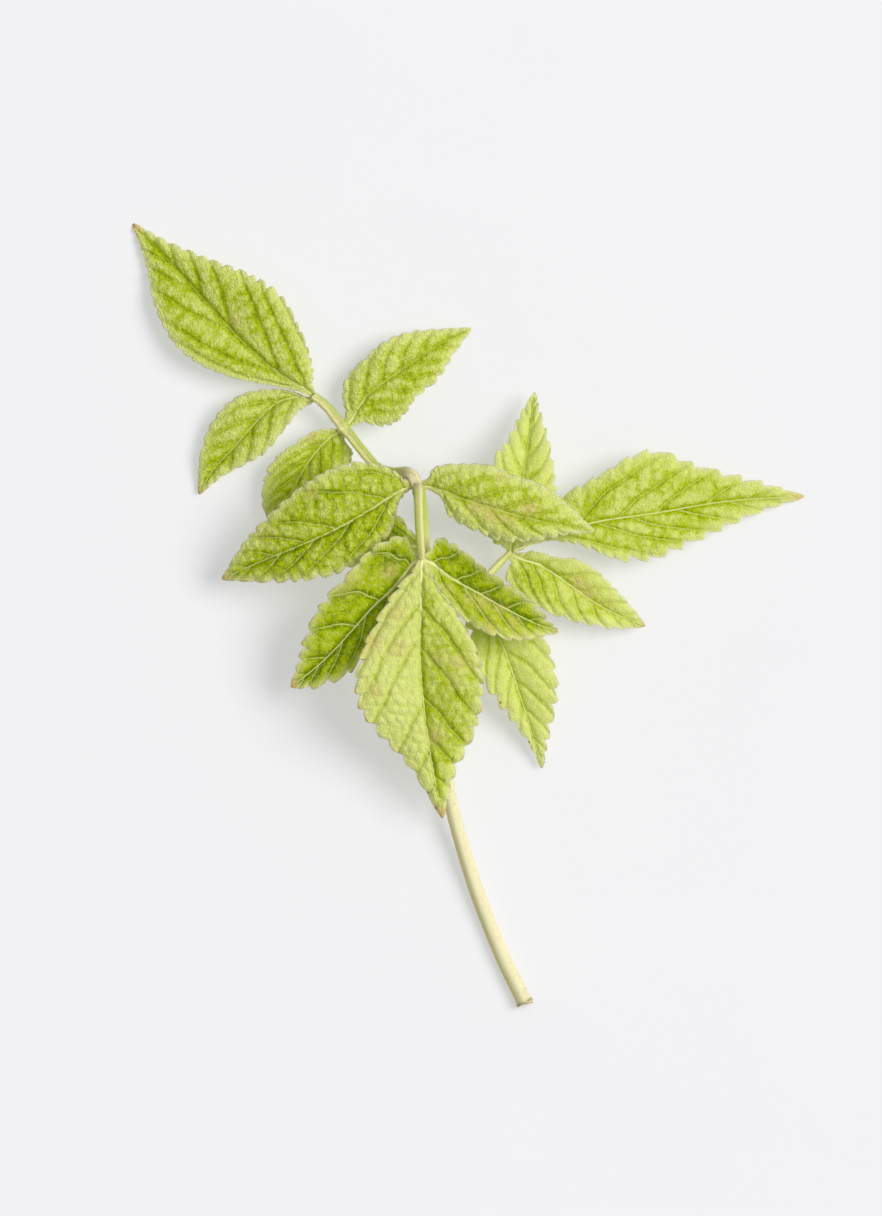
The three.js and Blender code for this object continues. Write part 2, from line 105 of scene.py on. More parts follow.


# Leaflets. rib: the midrib from root to tip, with the height of the upper face. left and right: the
# margins as seen from the root. lift: how far each margin stands above the midrib at a quarter, a
# half and three quarters of the length. bow: how far each half swells. These are as in the solids.
# ladder: how far the twigs cut into the tissue. crinkle: how strong its small cells are. teeth, and
# bite (how deep the notches are), are for the left and the right margin. point: 0 for round teeth, 1
# for sharp ones. starts: where side veins leave the midrib. lean: how far they run forward
# for each mm outwards. pucker, pale (veins), tone_and_shade (left, right), sear (a brown tip) and
# scorch (browned teeth, left, right) run from 0 to about 1. The tone of each half is partly its own
# green and partly painted shade and light: halves that lie under other leaflets or face away from the
# lamp are set darker, halves that face the lamp paler. spots: pale patches, each (x, y, size, strength).
# flecks: the places of dark specks.
LEAFLETS = {
    "upper_end": dict(
        rib=[(-31.4, 44.4, 5.0), (-38.4, 48.7, 4.9), (-45.6, 55.1, 4.5), (-52.6, 62.7, 3.5),
             (-60.0, 70.9, 2.1), (-67.0, 78.1, 0.72)],
        left=[(-39.2, 45.7), (-46.0, 46.9), (-53.0, 49.5), (-58.8, 54.1), (-62.6, 61.5), (-64.6, 70.5)],
        right=[(-30.6, 49.3), (-33.0, 56.5), (-37.2, 63.9), (-43.6, 68.1), (-51.0, 70.9), (-59.2, 74.3)],
        lift=[(0.6, 1.5, 0.7), (1.5, 2.1, 1.2)], bow=[0.6, 0.8], teeth=(23, 21), bite=(0.5, 0.95), point=0.0,
        starts=[(0.05, 0.19, 0.45, 0.65, 0.8), (0.04, 0.19, 0.46, 0.62, 0.77, 0.88)], lean=[2.9, 2.5],
        ladder=0.6, crinkle=1.0, pucker=0.75, pale=0.25, tone_and_shade=(0.62, 0.7), sear=0.9, scorch=(0, 0),
        spots=[(-46.3, 58.6, 1.2, 0.8)],
    ),
    "upper_side": dict(
        rib=[(-31.4, 42.2, 3.9), (-34.4, 43.4, 3.8), (-38.6, 42.1, 3.7), (-42.8, 38.1, 3.5),
             (-47.0, 33.3, 2.9), (-51.2, 28.7, 2.1), (-53.8, 24.1, 1.5)],
        left=[(-32.4, 41.5), (-34.2, 39.9), (-37.0, 36.5), (-40.2, 32.5), (-44.4, 30.1), (-49.2, 27.5)],
        right=[(-35.2, 44.7), (-39.8, 45.2), (-44.6, 44.5), (-48.8, 41.7), (-52.0, 37.1), (-53.8, 30.7)],
        lift=[(0.8, 1.4, 0.6), (0.0, 1.0, 0.6)], bow=[0.4, 0.5], teeth=(13, 14), bite=(0.65, 0.5), point=0.2,
        starts=EVEN, lean=[1.9, 1.9],
        ladder=0.5, crinkle=1.0, pucker=0.65, pale=0.55, tone_and_shade=(0.7, 0.68), sear=0.7, scorch=(0, 0),
        spots=[],
    ),
    "pair_right": dict(
        rib=[(-23.5, 38.3, 5.4), (-20.4, 43.5, 5.3), (-16.2, 46.9, 5.0), (-11.4, 50.3, 4.4),
             (-5.6, 54.1, 3.5), (0.6, 57.2, 2.3)],
        left=[(-25.2, 42.5), (-24.8, 47.1), (-20.8, 51.3), (-16.8, 54.7), (-12.0, 56.5), (-6.2, 57.1)],
        right=[(-20.8, 37.9), (-17.0, 37.3), (-13.4, 39.1), (-10.4, 43.1), (-6.2, 46.7), (-3.2, 51.5)],
        lift=[(-0.6, 0.8, 0.7), (0.6, 1.3, 0.6)], bow=[0.9, 0.4], teeth=(14, 14), bite=(0.6, 0.8), point=0.1,
        starts=EVEN, lean=[1.7, 2.1],
        ladder=0.6, crinkle=1.0, pucker=0.75, pale=0.35, tone_and_shade=(0.74, 0.74), sear=0.2, scorch=(0, 0),
        spots=[],
    ),
    "pair_left": dict(
        rib=[(-25.9, 36.2, 4.8), (-27.6, 35.4, 4.8), (-30.6, 32.3, 4.6), (-33.2, 28.5, 4.2),
             (-36.0, 23.5, 3.6), (-39.6, 18.3, 2.9)],
        left=[(-24.0, 34.2), (-22.9, 31.9), (-24.2, 28.7), (-27.2, 25.1), (-30.8, 22.3), (-34.8, 19.9)],
        right=[(-27.0, 37.3), (-31.0, 36.7), (-35.2, 34.1), (-38.8, 31.3), (-40.8, 27.3), (-41.2, 22.3)],
        lift=[(-0.2, 1.0, 0.5), (0.6, 1.2, 0.6)], bow=[0.3, 0.6], teeth=(11, 12), bite=(0.55, 0.55),
        point=0.1,
        starts=EVEN, lean=[1.8, 1.8],
        ladder=0.45, crinkle=0.9, pucker=0.6, pale=0.6, tone_and_shade=(0.62, 0.58), sear=0.2, scorch=(0, 0),
        spots=[(-31.0, 35.5, 1.5, 0.8)],
    ),
    "node_left": dict(
        rib=[(-11.9, 25.6, 15.6), (-15.2, 23.8, 15.6), (-20.0, 20.7, 15.2), (-26.4, 17.1, 14.4),
             (-33.6, 13.8, 12.8), (-41.2, 10.7, 10.2), (-49.2, 7.1, 6.6)],
        left=[(-13.6, 22.3), (-14.8, 17.3), (-18.8, 12.3), (-25.4, 8.3), (-32.8, 6.7), (-40.8, 6.4)],
        right=[(-14.4, 28.9), (-21.0, 30.9), (-27.8, 29.1), (-33.8, 25.5), (-40.0, 19.9), (-45.0, 14.3)],
        lift=[(-0.9, -0.5, 0.3), (1.6, 2.2, 0.9)], bow=[1.0, 0.6], teeth=(17, 18), bite=(0.95, 0.8),
        point=0.1,
        starts=[(0.05, 0.2, 0.43, 0.6, 0.75, 0.88), (0.05, 0.22, 0.5, 0.64, 0.78, 0.9)], lean=[2.6, 1.7],
        ladder=0.7, crinkle=1.0, pucker=0.85, pale=0.85, tone_and_shade=(0.43, 0.55), sear=0.5, scorch=(0.6, 0.35),
        spots=[(-31.0, 24.2, 1.2, 0.6), (-40.0, 16.0, 1.6, 0.5)],
    ),
    "node_right": dict(
        rib=[(-8.1, 25.6, 15.8), (-5.0, 24.7, 16.6), (-0.4, 22.9, 17.3), (5.6, 21.0, 17.3),
             (12.0, 19.2, 16.3), (18.6, 17.9, 14.6), (25.2, 16.7, 12.6)],
        left=[(-7.0, 29.5), (-2.2, 30.3), (3.8, 30.1), (9.6, 27.9), (15.0, 25.9), (20.2, 21.9)],
        right=[(-5.6, 23.3), (-4.0, 19.5), (1.0, 16.7), (7.2, 14.5), (13.8, 14.7), (19.8, 15.9)],
        lift=[(-0.2, -0.8, -0.3), (-0.4, -1.2, -0.4)], bow=[1.0, 1.0], teeth=(15, 16), bite=(0.65, 0.8),
        point=0.1,
        starts=EVEN, lean=[1.8, 1.8],
        ladder=0.7, crinkle=1.0, pucker=0.8, pale=0.45, tone_and_shade=(0.76, 0.78), sear=0.0, scorch=(0.2, 0),
        spots=[(1.7, 21.3, 1.8, 0.9), (4.6, 20.2, 1.8, 1.0), (7.8, 18.8, 1.7, 0.9), (12.4, 21.3, 1.5, 0.9),
               (6.8, 27.5, 1.4, 0.6)],
    ),
    "front_end": dict(
        rib=[(-9.3, 10.5, 18.7), (-9.5, 0.5, 18.3), (-9.6, -8.1, 17.1), (-8.8, -18.7, 14.8),
             (-7.2, -29.9, 11.6), (-5.1, -40.7, 8.2)],
        left=[(-4.2, 4.1), (0.0, -2.7), (3.0, -9.9), (3.0, -17.1), (1.2, -24.1), (-2.6, -31.7)],
        right=[(-14.6, 5.7), (-19.8, -2.9), (-22.6, -11.3), (-22.0, -18.3), (-17.8, -23.9), (-11.8, -30.3)],
        lift=[(1.4, 2.2, 0.8), (0.9, 1.8, 0.7)], bow=[0.6, 0.5], teeth=(16, 15), bite=(1.25, 1.35), point=0.2,
        starts=[(0.04, 0.18, 0.37, 0.56, 0.71, 0.85), (0.04, 0.17, 0.33, 0.59, 0.76, 0.88)],
        lean=[1.6, 1.8],
        ladder=0.4, crinkle=0.7, pucker=0.95, pale=1.0, tone_and_shade=(0.56, 1.25), sear=1.0, scorch=(0.45, 1.0),
        spots=[(-19.9, -5.5, 2.2, 1.0), (-14.4, 0.7, 1.8, 0.7), (-14.2, -6.8, 1.9, 0.8),
               (-18.8, -15.3, 1.9, 0.7), (-6.2, -8.6, 1.3, 0.8), (-1.6, -9.6, 1.7, 0.7),
               (-2.9, -13.7, 1.5, 0.5), (-6.4, -24.4, 1.8, 0.8)],
        flecks=[(-8.1, -35.6), (-6.4, -38.7)],
    ),
    "front_left": dict(
        rib=[(-10.5, 11.1, 17.7), (-14.6, 5.7, 16.5), (-19.4, 1.1, 15.2), (-23.8, -3.9, 13.6),
             (-29.2, -9.5, 11.6), (-35.4, -14.5, 9.2)],
        left=[(-11.4, 4.9), (-13.4, -0.3), (-16.2, -5.1), (-20.0, -8.8), (-24.6, -12.5), (-30.2, -14.7)],
        right=[(-12.6, 16.3), (-18.8, 14.1), (-23.8, 8.7), (-29.2, 2.9), (-32.4, -3.5), (-34.0, -9.3)],
        lift=[(0.2, 0.8, 0.6), (0.6, 1.4, 0.7)], bow=[0.3, 0.6], teeth=(10, 13), bite=(1.1, 1.15), point=0.35,
        starts=[(0.08, 0.25, 0.45, 0.65, 0.82), (0.05, 0.33, 0.54, 0.77, 0.9)], lean=[2.2, 1.1],
        ladder=0.3, crinkle=0.6, pucker=0.55, pale=1.0, tone_and_shade=(0.04, 0.16), sear=0.9, scorch=(0.6, 0.7),
        spots=[(-15.8, 8.6, 1.4, 1.0), (-23.9, 6.6, 1.7, 0.6), (-25.0, 4.6, 1.5, 0.5)],
    ),
    "front_right": dict(
        rib=[(-8.1, 11.1, 17.7), (-3.6, 7.5, 17.1), (2.0, 4.3, 16.3), (7.6, 1.1, 15.5), (12.8, -1.5, 14.7),
             (18.0, -3.5, 13.9)],
        left=[(-6.3, 15.7), (-2.4, 14.1), (2.8, 9.9), (8.0, 6.3), (12.6, 3.1), (16.2, -1.1)],
        right=[(-6.8, 5.3), (-3.4, 1.3), (0.4, -2.1), (5.2, -4.5), (10.0, -5.3), (14.4, -4.5)],
        lift=[(2.0, 2.6, 1.1), (0.4, 1.1, 0.6)], bow=[-0.2, 0.5], teeth=(13, 12), bite=(0.9, 0.9), point=0.3,
        starts=[(0.05, 0.25, 0.42, 0.6, 0.78), (0.08, 0.3, 0.5, 0.68, 0.84)], lean=[1.4, 2.2],
        ladder=0.3, crinkle=0.6, pucker=0.6, pale=0.85, tone_and_shade=(0.08, 0.26), sear=0.6, scorch=(0.3, 0.5),
        spots=[(0.2, 3.6, 1.5, 0.7), (2.9, 2.4, 1.6, 0.7), (6.2, 1.2, 1.6, 0.65), (4.6, -2.4, 1.5, 0.65),
               (9.2, -1.8, 1.4, 0.65), (10.9, -4.2, 1.3, 0.5), (-4.2, 5.2, 1.2, 0.6)],
    ),
    "right_end": dict(
        rib=[(9.4, 12.8, 7.8), (16.4, 15.7, 7.4), (25.6, 18.5, 6.9), (37.6, 20.3, 5.4), (52.2, 22.7, 2.8),
             (67.2, 23.6, 0.72)],
        left=[(12.4, 19.5), (18.4, 23.9), (26.0, 28.3), (35.6, 33.1), (46.2, 29.9), (57.8, 26.9)],
        right=[(14.6, 14.7), (20.6, 13.7), (27.0, 11.3), (35.0, 10.3), (45.8, 14.5), (56.4, 19.5)],
        lift=[(-0.6, 1.1, 0.7), (0.4, 0.9, 0.6)], bow=[0.6, 0.4], teeth=(17, 19), bite=(1.0, 1.4), point=0.7,
        starts=[(0.04, 0.14, 0.33, 0.48, 0.6, 0.74, 0.87), (0.05, 0.24, 0.4, 0.52, 0.66, 0.8)],
        lean=[1.6, 2.9],
        ladder=0.6, crinkle=0.8, pucker=0.5, pale=0.9, tone_and_shade=(0.66, 0.66), sear=0.6, scorch=(0, 0),
        spots=[],
    ),
    "right_upper": dict(
        rib=[(8.1, 13.8, 8.8), (9.4, 18.1, 9.4), (10.4, 23.9, 9.6), (11.4, 30.5, 8.6), (12.4, 37.3, 6.6),
             (13.3, 44.4, 4.2)],
        left=[(5.0, 13.9), (2.2, 18.1), (2.8, 24.5), (5.2, 31.5), (7.8, 34.9), (10.0, 39.5)],
        right=[(12.6, 13.7), (16.2, 16.9), (17.6, 22.3), (17.4, 28.5), (16.2, 34.9), (14.6, 40.3)],
        lift=[(0.4, 1.2, 0.6), (0.2, 0.8, 0.6)], bow=[0.5, 0.4], teeth=(13, 14), bite=(0.85, 0.85), point=0.4,
        starts=EVEN, lean=[1.8, 1.8],
        ladder=0.45, crinkle=0.6, pucker=0.45, pale=0.5, tone_and_shade=(1.0, 0.98), sear=0.0, scorch=(0, 0),
        spots=[],
    ),
    "right_lower": dict(
        rib=[(9.3, 11.2, 8.3), (14.2, 9.9, 8.4), (19.2, 6.7, 7.8), (24.2, 3.1, 6.6), (29.4, 0.1, 5.0),
             (35.4, -2.3, 3.2)],
        left=[(12.8, 12.9), (17.6, 11.7), (22.2, 11.1), (26.4, 8.3), (29.8, 4.9), (33.0, 1.3)],
        right=[(7.4, 9.3), (7.8, 5.7), (11.6, 2.5), (17.6, -0.3), (23.6, -2.1), (29.8, -2.9)],
        lift=[(0.5, 1.3, 0.6), (0.2, 0.8, 0.5)], bow=[0.4, 0.5], teeth=(12, 12), bite=(0.35, 0.8), point=0.5,
        starts=EVEN, lean=[1.6, 2.0],
        ladder=0.4, crinkle=0.7, pucker=0.5, pale=0.9, tone_and_shade=(0.8, 0.76), sear=0.5, scorch=(0, 0),
        spots=[(22.6, 6.5, 1.7, 0.9), (24.7, 4.4, 1.6, 0.9), (28.3, 1.9, 1.5, 0.6)],
    ),
    "right_back": dict(
        rib=[(2.5, 4.7, 8.7), (4.6, -1.1, 8.2), (7.6, -8.1, 7.2), (10.0, -15.1, 5.8), (12.4, -22.7, 3.8),
             (14.8, -30.7, 1.7)],
        left=[(7.4, 3.7), (12.6, -0.3), (16.2, -6.1), (18.0, -13.1), (17.4, -19.3), (16.0, -25.5)],
        right=[(-0.4, 1.3), (-0.4, -4.3), (1.2, -9.9), (4.2, -15.5), (8.0, -20.5), (12.0, -25.7)],
        lift=[(0.6, 1.2, 0.5), (0.5, 0.9, 0.5)], bow=[0.4, 0.5], teeth=(13, 12), bite=(0.8, 1.5), point=0.3,
        starts=[(0.05, 0.2, 0.38, 0.55, 0.7, 0.85), (0.05, 0.2, 0.33, 0.5, 0.68, 0.84)], lean=[1.6, 2.5],
        ladder=0.35, crinkle=0.6, pucker=0.45, pale=0.8, tone_and_shade=(1.02, 0.96), sear=0.3, scorch=(0.2, 0.5),
        spots=[(8.1, -18.7, 1.0, 0.8)], flecks=[(6.5, -17.6), (12.2, -25.5)],
    ),
    "hidden_left": dict(
        rib=[(-10.2, 13.5, 12.4), (-13.4, 13.7, 12.2), (-16.4, 13.5, 11.6), (-19.4, 12.9, 10.8),
             (-22.2, 11.9, 9.8), (-25.0, 10.7, 8.8)],
        left=[(-12.0, 11.1), (-14.4, 9.3), (-17.0, 8.7), (-19.4, 8.9), (-21.6, 9.5), (-23.6, 10.1)],
        right=[(-11.6, 17.3), (-13.2, 19.5), (-15.8, 19.7), (-18.8, 18.1), (-21.4, 15.9), (-23.6, 13.3)],
        lift=[(0.2, 0.5, 0.3), (0.2, 0.6, 0.3)], bow=[0.3, 0.3], teeth=(8, 8), bite=(0.7, 0.8), point=0.1,
        starts=EVEN, lean=[1.6, 1.6],
        ladder=0.4, crinkle=0.8, pucker=0.7, pale=0.6, tone_and_shade=(0.25, 0.25), sear=0.0, scorch=(0, 0),
        spots=[],
    ),
}


# ---------------------------------------------------------------- curves

def curve(points, share):
    """A smooth curve through points, read at shares of its spans. It is the one that the solids use."""
    points = np.asarray(points, float)
    padded = np.vstack([2 * points[0] - points[1], points, 2 * points[-1] - points[-2]])
    place = np.clip(share, 0, 1) * (len(points) - 1)
    span = np.minimum(place.astype(int), len(points) - 2)
    t = (place - span)[..., None]
    before, start, end, after = (padded[span + k] for k in range(4))
    bend = 2 * before - 5 * start + 4 * end - after
    return start + 0.5 * t * (end - before + t * (bend + t * (3 * start - 3 * end + after - before)))


def value_along(values, share):
    return curve([(value,) for value in values], share)[..., 0]


def unit(vectors):
    return vectors / np.linalg.norm(vectors, axis=-1, keepdims=True)


def bell(distance, width):
    return np.exp(-((distance / width) ** 2))


def margin_points(shape, side):
    """A margin's points, from beside the root to beside the tip. side is -1 for left and 1 for right."""
    rib = np.array(shape["rib"])[:, :2]
    out, end = unit(rib[1] - rib[0]), unit(rib[-1] - rib[-2])
    across = [side * np.array([d[1], -d[0]]) for d in (out, end)]
    start = rib[0] + across[0] * ROOT_HALF - out * ROOT_LEAN
    stop = rib[-1] + across[1] * TIP_HALF
    return np.vstack([start, shape["left" if side < 0 else "right"], stop])


def way_in(place, own=""):
    """The step from a root to the middle of the nearest stalk, other than its own."""
    steps = []
    for name, points in STALKS.items():
        if name != own:
            middle = curve(points, np.linspace(0, 0.99, 400))
            step = middle[:, :3] - place
            gap = np.linalg.norm(step, axis=1) - middle[:, 3]
            steps.append((gap.min(), *step[gap.argmin()]))
    return np.array(min(steps)[1:])


def joined(name):
    """A stalk's points, with its lower end run on into the stalk that it grows from."""
    points = np.array(STALKS[name])
    if name != "main_stem":
        points[0, :3] += way_in(points[0, :3], name)
    return points


# ---------------------------------------------------------------- leaflets

def read_layers(bm):
    return np.array([vertex.co for vertex in bm.verts])


def side_veins(shape, side, along, lateral, length, random):
    """The phase of the side veins of one half, a whole number on each, its steepness for each mm, and
    the phase of the twigs between them."""
    half = 0 if side < 0 else 1
    starts, lean = shape["starts"][half], shape["lean"][half]
    first, last = starts[0], starts[-1]
    knots = np.array([first - 0.45, first - 0.3, first - 0.15, *starts, (last + 1) / 2, 1.0, 1.15])
    early = (1 - VEIN_OUT) * np.exp(-lateral / VEIN_TURN)
    turned = lateral - VEIN_TURN * (1 - VEIN_OUT - early)
    sway = 0.2 * np.sin(lateral / 1.3 + along * 9 + 3 * side) + 0.2 * np.sin(along * length / 2.3 + lateral)
    start = along - (lean * turned + sway * (1 - bell(lateral, 2.0))) / length
    phase = np.interp(start, knots, np.arange(len(knots)))
    slope = np.interp(start, knots, 1 / np.gradient(knots))
    steep = slope * np.sqrt(1 + (lean * (1 - early)) ** 2) / length
    run = (lean * along * length + lateral) / np.sqrt(1 + lean**2)
    gap = np.floor(phase)
    behind = 1 - (phase - gap)
    shifts = random.uniform(0, 1, len(knots) + 1)[np.clip(gap, 0, len(knots)).astype(int)]
    twig = (run - TWIG_BEND * behind**1.5 / steep) / TWIG_PITCH + shifts + 0.12 * np.sin(run * 1.1 + gap)
    return phase, steep, twig


def cells(plan, pitch, random):
    """How far each point lies from the edge of its small cell, and the cell's own height."""
    low, high = plan.min(axis=(0, 1)) - pitch, plan.max(axis=(0, 1)) + pitch
    x, y = (a.ravel() for a in np.meshgrid(*(np.arange(low[k], high[k], pitch) for k in (0, 1))))
    x = x + pitch * 0.5 * (np.round((y - low[1]) / pitch) % 2)
    jitter = random.uniform(-0.36, 0.36, (2, len(x))) * pitch
    tree = kdtree.KDTree(len(x))
    for index, centre in enumerate(zip(x + jitter[0], y + jitter[1], 0 * x)):
        tree.insert(centre, index)
    tree.balance()
    found = [tree.find_n((*place, 0), 2) for place in plan.reshape(-1, 2)]
    edge = np.array([(further[2] - nearer[2]) / 2 for nearer, further in found])
    height = random.uniform(0.5, 1.2, len(x))[[nearer[1] for nearer, further in found]]
    return edge.reshape(plan.shape[:2]), height.reshape(plan.shape[:2])


def margin_teeth(shape, side, along, random):
    """How far out a margin stands, from 0 in a notch to 1 on a tooth, and the depth of its notches."""
    half = 0 if side < 0 else 1
    number = shape["teeth"][half]
    shifts = random.uniform(-0.2, 0.2, number + 1)
    shifts[[0, -1]] = 0
    place = along * number
    place = place + np.interp(place, np.arange(number + 1), shifts)
    sizes = random.uniform(0.5, 1.25, number + 1) * shape["bite"][half]
    share = place % 1
    rise = np.minimum(share / TOOTH_TIP, (1 - share) / (1 - TOOTH_TIP))
    swell = (1 - shape["point"]) * np.sin(np.pi / 2 * rise) ** TOOTH_ROUND + shape["point"] * rise
    return swell, sizes[np.clip(place, 0, number).astype(int)]


def rib_furrow(shape, along):
    """The depth of the furrow over the midrib, which is shallow where the veins stand out pale."""
    return RIB_FURROW * (1 - 0.6 * along) * (1.2 - 0.8 * shape["pale"])


def half_fields(shape, side, along, share, random):
    """Everything that one half of a leaflet needs at its points: places in mm, relief and markings."""
    rib = curve(shape["rib"], along)
    edge = curve(margin_points(shape, side), along)
    half = np.linalg.norm(edge - rib[..., :2], axis=-1)
    length = np.linalg.norm(np.diff(curve(shape["rib"], np.linspace(0, 1, 60)), axis=0), axis=1).sum()
    swell, bite = margin_teeth(shape, side, along, random)
    depth = np.minimum(bite * np.clip((1 - along) / 0.18, 0.3, 1), TOOTH_SHARE * half)
    cut = depth * (1 - swell)
    reach = share * (1 - share * cut / half)
    lateral, margin = reach * half, (1 - reach) * half - cut
    bow = shape["bow"][0 if side < 0 else 1] * np.sin(np.pi * share) * np.sin(np.pi * along)
    lift = value_along([0, *shape["lift"][0 if side < 0 else 1], 0], along) * share
    phase, steep, twig = side_veins(shape, side, along, lateral, length, random)
    to_vein = np.abs(phase - np.round(phase)) / steep
    to_twig = np.abs(twig - np.round(twig)) * TWIG_PITCH
    plan = rib[..., :2] + (edge - rib[..., :2]) * reach[..., None]
    to_cell, height = cells(plan, CELL_PITCH * (0.8 + 0.9 * shape["pale"]), random)
    inner = 1 - 0.45 * np.exp(-margin / 0.8)
    quilt = (1 - bell(to_vein, 0.65)) * (1 - bell(lateral, 0.8))
    quilt = quilt * (1 - shape["ladder"] * (1 - bell(lateral, 2.5)) * bell(to_twig, 0.6))
    dome = height * (1 - bell(to_cell, 0.4))
    rim = np.exp(-margin / 1.5) * np.clip(half / 3, 0, 1)
    # Painted shade and light for the finish: low in vein furrows, cell walls and notches, high on swellings.
    relief_shade = 0.7 * quilt + 0.3 * dome * (0.4 + 0.6 * quilt)
    relief_shade = relief_shade + rim * (0.35 + 0.45 * swell - relief_shade)
    relief = shape["pucker"] * inner * (QUILT * quilt + CELL * shape["crinkle"] * dome)
    relief -= rib_furrow(shape, along) * bell(lateral, 0.5) + SIDE_FURROW * bell(to_vein, 0.3) * inner
    relief += rim * shape["pucker"] * (0.14 * swell - NOTCH_FURROW * (1 - swell) ** 2)
    relief -= EDGE_CURL * np.exp(-margin / 0.4) * np.clip(half / 3, 0, 1)
    ahead, behind = (curve(shape["rib"], np.clip(along + d, 0, 1))[..., :2] for d in (0.01, -0.01))
    forward = unit(ahead - behind)
    plan = plan + forward * ((0.35 + 0.4 * shape["point"]) * depth * swell * share**6)[..., None]
    wave = WAVE * np.sin(plan[..., 0] / 2.9 + 2 * side) * np.sin(plan[..., 1] / 2.3) * share
    z = rib[..., 2] + lift + bow + relief - 0.5 * shape["pucker"] * share + wave
    return {
        "place": np.dstack([plan, z]), "along": along, "rib": lateral, "margin": margin, "phase": phase,
        "steep": steep, "twig": twig, "cell": to_cell, "relief_shade": relief_shade,
        # Each half's tone, partly its own green and partly painted shade and light.
        "tone_and_shade": np.full(along.shape, shape["tone_and_shade"][0 if side < 0 else 1]),
        "scorch": swell**3 * shape["scorch"][0 if side < 0 else 1],
    }


def patches(places, spots):
    """The strength of marks, each (x, y, size, strength), at places."""
    total = np.zeros(places.shape[:2])
    for x, y, size, strength in spots:
        away = np.hypot(places[..., 0] - x, places[..., 1] - y)
        total = np.maximum(total, strength * bell(away, size))
    return total


def leaf_sheet(name, shape):
    """One leaflet as a fine sheet, with what its finish reads in attributes, and its margins' hairs."""
    length = np.linalg.norm(np.diff(np.array(shape["rib"]), axis=0), axis=1).sum()
    reaches = [curve(margin_points(shape, side), np.linspace(0, 1, 40)) for side in (-1, 1)]
    middle = curve(shape["rib"], np.linspace(0, 1, 40))[:, :2]
    widest = max(np.linalg.norm(edge - middle, axis=1).max() for edge in reaches)
    rows, columns = int(length / STEP), 2 * int(widest / STEP)
    bm = bmesh.new()
    bmesh.ops.create_grid(bm, x_segments=columns, y_segments=rows, size=1)
    grid = read_layers(bm).reshape(rows + 1, columns + 1, 3)
    across, along = grid[..., 0], np.clip((grid[..., 1] + 1) / 2, 0, 1)
    centre = columns // 2
    random = np.random.default_rng(sum(map(ord, name)))
    left = half_fields(shape, -1, along[:, :centre], -across[:, :centre], random)
    right = half_fields(shape, 1, along[:, centre:], np.abs(across[:, centre:]), random)
    fields = {key: np.concatenate([left[key], right[key]], axis=1) for key in left}
    fields["rib"] = fields["rib"] * np.where(across < 0, -1, 1)
    fields["bleach"] = patches(fields["place"], shape["spots"])
    fields["fleck"] = patches(fields["place"], [(x, y, FLECK, 1.0) for x, y in shape.get("flecks", [])])
    fields["place"] += way_in(shape["rib"][0]) * bell(fields["along"] * length, ROOT_REACH)[..., None]
    mesh = bpy.data.meshes.new(name)
    bm.to_mesh(mesh)
    bm.free()
    mesh.vertices.foreach_set("co", (fields["place"] * MM).ravel())
    for key in MARKINGS:
        layer = mesh.attributes.new(key, "FLOAT", "POINT")
        layer.data.foreach_set("value", fields[key].ravel())
    piece = bpy.data.objects.new(name, mesh)
    bpy.context.scene.collection.objects.link(piece)
    thicken(piece, fields)
    return piece, margin_hairs(name.replace("blade", "fringe"), fields["place"])


def thicken(piece, fields):
    """Gives a sheet its thickness, downwards, with its midrib standing out below."""
    weight = THIN / THICK + (1 - THIN / THICK) * bell(fields["rib"], 0.7) * (1 - fields["along"])
    weight = weight * np.clip(0.2 + fields["margin"] / 0.6, 0, 1)
    group = piece.vertex_groups.new(name="thickness")
    for index, share in enumerate(weight.ravel()):
        group.add([index], share, "REPLACE")
    solid = piece.modifiers.new("thickness", "SOLIDIFY")
    solid.thickness = THICK * MM
    solid.offset = -1
    solid.vertex_group = group.name
    solid.material_offset = 1
    piece.modifiers.new("even_shading", "WEIGHTED_NORMAL").mode = "FACE_AREA"
    for polygon in piece.data.polygons:
        polygon.use_smooth = True


# ---------------------------------------------------------------- stalks

def tube_frame(points, along):
    """The middle of a stalk, its sideways and up directions and its radius, at shares of its length."""
    spine = curve(points, along)
    step = 1e-3
    ahead, behind = (curve(points, np.clip(along + d, 0, 1)) for d in (step, -step))
    forward = unit((ahead - behind)[..., :3])
    sideways = np.stack([forward[..., 1], -forward[..., 0], 0 * forward[..., 0]], axis=-1)
    steep = np.linalg.norm(sideways, axis=-1, keepdims=True) < 0.3
    sideways = unit(np.where(steep, (-1.0, 0.0, 0.0), sideways))
    return spine[..., :3], sideways, np.cross(sideways, forward), spine[..., 3]


